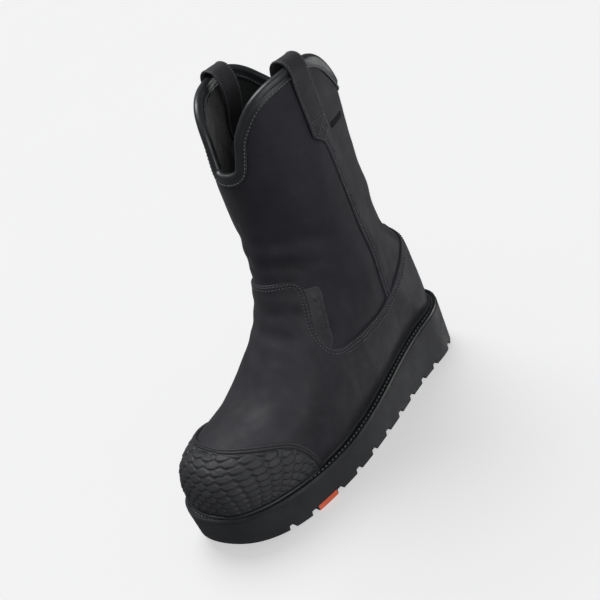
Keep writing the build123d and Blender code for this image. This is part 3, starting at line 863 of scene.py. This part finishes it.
def scales(sheet):
    """Rows of rounded hexagonal scales: each is raised and leans out at its lower edge."""
    x = sheet.pos[:, 0] - spine_x(sheet.pos[:, 1])
    y = sheet.pos[:, 1] - SCALE_CENTRE_Y
    turn = np.arctan2(x, -y)
    reach = np.hypot(x, y)
    rise = sheet.field["sole"] - WELT - BEAD
    slant = np.arctan2(rise * 1.15, np.maximum(reach - 12, 4)) * SCALE_RADIUS
    row_at = slant / SCALE_ROW + 0.15
    best = np.full(len(x), 9.0)
    tilt = np.zeros(len(x))
    for shift in (-1, 0, 1):
        row = np.floor(row_at) + shift
        size = SCALE_WIDTH * (0.80 + 0.05 * np.clip(row, 0, 7))
        arc = turn * SCALE_RADIUS * np.clip(1.05 - 0.055 * row, 0.5, 1.1)
        cell = arc / size + 0.5 * (row % 2)
        for side in (0, 1):
            column = np.floor(cell) + side
            u = cell - column
            v = row_at - row - 0.5
            dist = np.maximum(np.abs(v) * 1.35, np.abs(v) * 0.675 + np.abs(u) * 1.32)
            closer = dist < best
            best = np.where(closer, dist, best)
            tilt = np.where(closer, v, tilt)
    pad = 1 - smoothstep(best, 0.50, 0.80)
    return pad * (0.62 - 0.55 * tilt)


d = guard.field["guard"] - RIM_WIDTH
calm = smoothstep(d, 0.3, 2.2) * smoothstep(guard.field["sole"], WELT + BEAD, WELT + BEAD + 2.5)
height = VAMP + 1.6 + scales(guard) * calm * 1.6
shell("toe_guard_scales", guard, height, VAMP * 0.4, ["toe_guard"], guard_rubber)

# ---------------------------------------------------------------- bead at the foot of the upper
whole.top = whole.pos
foot = isoline(whole, "sole", WELT + 1.7)
foot_points, foot_normals = max(foot, key=lambda run: len(run[0]))
foot_points, foot_normals = resample(foot_points, foot_normals, 1.2)
foot_points = smooth_loop(foot_points[:-1], 6)
flat_normals = foot_normals[:-1] * (1, 1, 0.25)
foot_normals = smooth_loop(unit(flat_normals), 8)
turn = np.linspace(0, 2 * math.pi, 13)[:-1]
guard_step = 1.9 * (1 - smoothstep(foot_points[:, 1], -72, -62))
foot_points = foot_points + unit(foot_normals) * guard_step[:, None]
# the bead's section, as (out, down): an oval with its inner side flat against the upper
BEAD_OUT, BEAD_THICK_HALF, BEAD_TALL_HALF = 2.2, 1.5, 1.75
bead_profile = np.stack([BEAD_OUT + BEAD_THICK_HALF * np.cos(turn), BEAD_TALL_HALF * np.sin(turn)], 1)
bead_profile[:, 0] = np.where(bead_profile[:, 0] < 1.6, 0.2, bead_profile[:, 0])
sweep("welt_bead_roll", foot_points, foot_normals, bead_profile, ["welt_bead"], welt_rubber)

# ---------------------------------------------------------------- lining and binding
lining = whole.copy()
lining.cut("collar", keep=2.0).cut("sole", keep=WELT)
rng.normal(size=len(lining.pos))  # the felt's pattern starts this far into the random draws
for node_name, sign in (("foot_lining", -1), ("shaft_lining", 1)):
    part = lining.copy()
    part.field["part"] = sign * (part.pos[:, 2] - LINING_SEAM_Z)
    part.cut("part")
    fuzz = waves(part.pos, FINE) * 0.12 + rng.normal(0, 0.03, len(part.pos))
    shell(node_name + "_felt", part, -LEATHER - 0.05, -LEATHER - LINING - fuzz, [node_name],
          lining_cloth)

collar_runs = isoline(whole, "collar", 0.0)
rim_points, rim_normals = max(collar_runs, key=lambda run: len(run[0]))
rim_points, rim_normals = resample(rim_points, rim_normals, 1.0)
rim_points = smooth_loop(rim_points[:-1], 10)
rim_normals = smooth_loop(rim_normals[:-1], 14)
# the binding's section, as (out, down) from the collar's edge: outer flap, roll over the edge, inner flap
ROLL_RADIUS = 3.9
arc = np.linspace(0, math.pi, 11)
roll = np.stack([-1.9 + ROLL_RADIUS * np.cos(arc), 1.3 - ROLL_RADIUS * np.sin(arc)], 1)
outside = np.array([
    (0.25, 8.3), (0.85, 8.1), (1.15, 7.5), (0.7, 6.7), (1.1, 5.9), (1.05, 4.8), (0.95, 3.9), (1.4, 3.0),
])
inside = np.array([
    (-5.3, 3.0), (-5.0, 3.9), (-5.05, 5.4), (-4.9, 6.4), (-5.1, 7.2), (-5.0, 8.4), (-4.5, 9.0),
    (-3.7, 9.0), (-3.7, 1.6), (-0.1, 1.6), (-0.1, 8.0),
])
binding_profile = np.vstack([outside, roll, inside])
sweep("collar_binding_roll", rim_points, rim_normals, binding_profile, ["collar_binding"],
      binding_leather)


def rim_row(out, down_by):
    """A closed row that follows the collar, out from it and below its edge, with its outward normals."""
    n = unit(rim_normals)
    points = rim_points + n * out + down_along(rim_points, n) * down_by
    points = np.vstack([points, points[:1]])
    return points, np.vstack([n, n[:1]]) * (1 if out > -1 else -1)


# binding stitches in the lighter thread copy: painted highlight
stitches("binding_stitching", [rim_row(0.75, 6.7), rim_row(-4.95, 6.4)], painted_highlight_thread, pitch=3.1,
         width=1.05, rise=0.65)

# ---------------------------------------------------------------- pull straps
STRAP_STEP = 0.8
STRAP_BOW = 0.55
POINT_SLOPE = 0.95
POINT_SHARE = 0.72
CROSS_AT, CROSS_HALF = 13.5, 7.0
BOX_TOP, BOX_HALF = 21.0, 7.6
strap_line = smooth_curve(STRAP_PATH, STRAP_STEP)


def strap(side, node_name):
    """Folded leather loop with rounded edges, a pointed outer end and edge stitching."""
    run = np.concatenate([[0], np.cumsum(np.hypot(*np.diff(strap_line, axis=0).T))])
    nv, nu = int(run[-1] / STRAP_STEP), 29
    at = np.linspace(0, run[-1], nv)
    x, z = np.interp(at, run, strap_line[:, 0]), np.interp(at, run, strap_line[:, 1])
    tangent = unit(np.stack([np.gradient(x), np.gradient(z)], 1))
    across = np.linspace(-STRAP_HALF, STRAP_HALF, nu)
    s, w = np.meshgrid(at, across, indexing="ij")
    bow = STRAP_BOW * (w / STRAP_HALF) ** 2 * (1 - smoothstep(s, 50, 62))
    nx, nz = tangent[:, 1:2], -tangent[:, 0:1]
    px = side * (x[:, None] - bow * nx) + 0 * w
    pz = z[:, None] - bow * nz
    piece = object.__new__(Sheet)
    piece.pos = lean(np.stack([px, STRAP_Y + w, pz], -1).reshape(-1, 3))
    normal = np.stack([side * nx + 0 * w, 0.02 * w, nz + 0 * w], -1)
    piece.nor = unit(normal.reshape(-1, 3))
    r, c = np.meshgrid(np.arange(nv - 1), np.arange(nu - 1), indexing="ij")
    a = (r * nu + c).reshape(-1)
    tri = np.concatenate([np.stack([a, a + 1, a + nu + 1], 1), np.stack([a, a + nu + 1, a + nu], 1)])
    piece.tri = tri if side > 0 else tri[:, ::-1]
    point = (s - np.abs(w) * POINT_SLOPE) * POINT_SHARE
    piece.field = {
        "edge": np.minimum(np.minimum(STRAP_HALF - np.abs(w), point), run[-1] - s).reshape(-1),
        "s": s.reshape(-1), "w": w.reshape(-1)}
    area = np.cross(piece.pos[piece.tri[:, 1]] - piece.pos[piece.tri[:, 0]],
                    piece.pos[piece.tri[:, 2]] - piece.pos[piece.tri[:, 0]])
    if (area * piece.nor[piece.tri[:, 0]]).sum() < 0:
        piece.tri = piece.tri[:, ::-1]
    piece.cut("edge", (0.3, 0.7, 1.1, 1.6, 2.1), keep=0.01)
    d = piece.field["edge"]
    bulge = rounded(d, 1.0)
    height = STRAP_HALF_THICK * (0.3 + 0.7 * bulge) - 0.12 * valley(d, STRAP_ROW, 0.4)
    height = height + waves(piece.pos, FINE) * 0.06
    shell(node_name + "_loop", piece, height, -STRAP_HALF_THICK * (0.3 + 0.7 * bulge), [node_name],
          strap_leather)
    for field, slant in (("cross_a", 1), ("cross_b", -1)):
        piece.field[field] = (piece.field["s"] - CROSS_AT + slant * piece.field["w"]) / CROSS_HALF

    def in_box(p):
        """The stitched box near the pointed end of the outer run."""
        return ((side * p[:, 0] > 50) & (np.abs(p[:, 1] - STRAP_Y) < BOX_HALF)
                & (p[:, 2] > STRAP_BOX[0]) & (p[:, 2] < STRAP_BOX[1]))

    rows = isoline(piece, "edge", STRAP_ROW)
    for field, level in (("s", BOX_TOP), ("cross_a", 0.0), ("cross_b", 0.0)):
        rows += isoline(piece, field, level, in_box)
    stitches(node_name + "_stitching", rows, thread_with_painted_sheen, pitch=2.5, width=0.85, rise=0.5)


strap(1, "pull_strap_lateral")
strap(-1, "pull_strap_medial")

# small woven label
label = Sheet(END * 0.72, END * 0.95, NV, NU)
mid_y, mid_z = sum(LABEL_Y) / 2, sum(LABEL_Z) / 2
half_y, half_z = (LABEL_Y[1] - LABEL_Y[0]) / 2, (LABEL_Z[1] - LABEL_Z[0]) / 2
box = np.minimum(half_y - np.abs(label.pos[:, 1] - mid_y), half_z - np.abs(label.pos[:, 2] - mid_z))
label.field["label"] = np.where(label.pos[:, 0] > 0, box, -50)
label.cut("label", (0.2, 0.5, 0.8, 1.1))
d = label.field["label"]
relief = leather_relief(label.pos, np.full(len(d), 20.0))
height = relief + 0.2 + 0.5 * rounded(d, 0.5) - 0.12 * smoothstep(d, 0.8, 1.1)
shell("side_label_weave", label, height, relief + 0.02, ["side_label"], label_cloth)


# ---------------------------------------------------------------- stitching on the ledge of the CAD welt
def ledge_line(inset):
    """Closed line on the welt's ledge, found by looking inward at the welt's wall from all round."""
    mesh = frame["nodes"]["welt"].data
    tree = BVHTree.FromPolygons([v.co[:] for v in mesh.vertices], [p.vertices[:] for p in mesh.polygons])
    looks = 400
    straight_half, end_radius, stand_off, above_sole = 0.100, 0.055, 0.2, 0.9
    points = []
    for k in range(looks):
        turn = 2 * math.pi * k / looks
        direction = Vector((math.sin(turn), math.cos(turn), 0))
        centre_y = straight_half * max(-1, min(1, direction.y * 2.2))
        start = Vector((0, centre_y, 0)) + direction * stand_off
        wall_y = (Vector((0, centre_y, 0)) + direction * end_radius).y
        start.z = (float(sole_z(wall_y / MM)) + above_sole) * MM
        hit = tree.ray_cast(start, -direction)[0]
        if hit:
            points.append((hit.x / MM, hit.y / MM))
    outline = smooth_loop(np.array(points), 3)
    along = unit(np.roll(outline, -1, 0) - np.roll(outline, 1, 0))
    inward = np.stack([along[:, 1], -along[:, 0]], 1)
    if (inward * outline).sum() > 0:
        inward = -inward
    line = outline + inward * inset
    return np.column_stack([line, sole_z(line[:, 1]) + WELT])


LEDGE_INSET = 3.9
ledge = ledge_line(LEDGE_INSET)
ledge = np.vstack([ledge, ledge[:1]])
# welt stitches in the lighter thread copy: painted highlight
stitches("welt_stitching", [(ledge, np.tile([0.0, 0.0, 1.0], (len(ledge), 1)))], painted_highlight_thread,
         pitch=4.2, width=1.6, rise=1.0, share=0.7)

# ---------------------------------------------------------------- camera, floor and light, in metres
AIM = Vector((-3.4, 1.0, 150.0)) * MM
AZIMUTH, ELEVATION, ROLL = math.radians(56.321), math.radians(25.955), math.radians(25.576)
DISTANCE = 0.8116
SIDE_SHIFT, UP_SHIFT = 0.02311, -0.00382
LENS = 57.75


def place_camera():
    """Adds the camera, tipped on its side by ROLL, and returns its right, up and toward directions."""
    level = Vector((math.cos(AZIMUTH), math.sin(AZIMUTH), 0))
    rise = Vector((-math.sin(AZIMUTH) * math.sin(ELEVATION), math.cos(AZIMUTH) * math.sin(ELEVATION),
                   math.cos(ELEVATION)))
    toward = Vector((math.sin(AZIMUTH) * math.cos(ELEVATION), -math.cos(AZIMUTH) * math.cos(ELEVATION),
                     math.sin(ELEVATION)))
    right = math.cos(ROLL) * level - math.sin(ROLL) * rise
    up = math.sin(ROLL) * level + math.cos(ROLL) * rise
    eye = AIM + toward * DISTANCE
    forward = (-toward * DISTANCE + right * SIDE_SHIFT + up * UP_SHIFT).normalized()
    across = forward.cross(up).normalized()
    above_it = across.cross(forward)
    data = bpy.data.cameras.new("camera")
    data.lens = LENS
    data.sensor_width = 36
    data.clip_start = 0.01
    camera = bpy.data.objects.new("camera", data)
    bpy.context.scene.collection.objects.link(camera)
    camera.matrix_world = Matrix((
        (across.x, above_it.x, -forward.x, eye.x),
        (across.y, above_it.y, -forward.y, eye.y),
        (across.z, above_it.z, -forward.z, eye.z),
        (0, 0, 0, 1),
    ))
    bpy.context.scene.camera = camera
    return right, up, toward


LAMP_TARGET = Vector((0, 0, 0.13))


def lamp(kind, name, position, power, receivers):
    """A light that falls only on the receivers, so that the boot and the floor are lit apart."""
    data = bpy.data.lights.new(name, kind)
    data.energy = power
    obj = bpy.data.objects.new(name, data)
    bpy.context.scene.collection.objects.link(obj)
    obj.location = position
    obj.rotation_euler = (LAMP_TARGET - position).to_track_quat("-Z", "Y").to_euler()
    obj.light_linking.receiver_collection = receivers
    return data


def softbox(name, position, size, power, receivers):
    data = lamp("AREA", name, position, power, receivers)
    data.shape = "RECTANGLE"
    data.size, data.size_y = size


right, up, toward = place_camera()
bpy.context.scene.view_settings.view_transform = "Standard"

boot_group = bpy.data.collections.new("boot_pieces")
for obj in bpy.context.scene.objects:
    if obj.type == "MESH":
        boot_group.objects.link(obj)

FLOOR_REACH = 40.0
floor_corners = [(FLOOR_REACH * x, FLOOR_REACH * y, 0) for x, y in ((-1, -1), (1, -1), (1, 1), (-1, 1))]
floor_mesh = bpy.data.meshes.new("floor")
floor_mesh.from_pydata(floor_corners, [], [(0, 1, 2, 3)])
floor = bpy.data.objects.new("floor", floor_mesh)
bpy.context.scene.collection.objects.link(floor)
floor_material, tree, shader = new_material("pale_floor")
tone = ramp(tree, noise(tree, 2.0), [(0.2, (0.60, 0.60, 0.60)), (0.8, (0.61, 0.61, 0.61))])
tree.links.new(tone, shader.inputs["Base Color"])
shader.inputs["Roughness"].default_value = 0.9
shader.inputs["Specular IOR Level"].default_value = 0.1
shader.inputs["Emission Color"].default_value = (1, 1, 1, 1)
shader.inputs["Emission Strength"].default_value = 0.535
floor_mesh.materials.append(floor_material)
floor.visible_diffuse = False
floor.visible_glossy = False
floor_group = bpy.data.collections.new("stage_pieces")
floor_group.objects.link(floor)

middle = Vector((0, 0, 0.15))
softbox("key", middle + up * 1.0 - right * 0.85 + toward * 0.25, (0.5, 0.9), 14, boot_group)
softbox("rim", middle + right * 1.1 + up * 0.2 - toward * 0.5, (0.3, 1.2), 4.2, boot_group)
softbox("fill", middle + toward * 1.3 + right * 0.45 + up * 0.2, (0.9, 0.9), 7.5, boot_group)
softbox("low", middle + toward * 0.7 + right * 1.0 - up * 0.45, (0.7, 0.7), 3.5, boot_group)
sun_place = middle + up * 1.0 - right * 0.5 - toward * 0.4 + Vector((0, 0, 0.6))
sun = lamp("SUN", "shadow_sun", sun_place, 1.45, floor_group)
sun.angle = math.radians(40)

# the world is bright where the camera sees it and dim as a light
world = bpy.data.worlds.new("studio")
bpy.context.scene.world = world
world.use_nodes = True
nodes, links = world.node_tree.nodes, world.node_tree.links
background = nodes["Background"]
background.inputs["Color"].default_value = (0.96, 0.97, 1.0, 1)
ray = nodes.new("ShaderNodeLightPath")
strength = nodes.new("ShaderNodeMapRange")
strength.inputs["To Min"].default_value = 0.2
strength.inputs["To Max"].default_value = 0.9
links.new(ray.outputs["Is Camera Ray"], strength.inputs["Value"])
links.new(strength.outputs["Result"], background.inputs["Strength"])
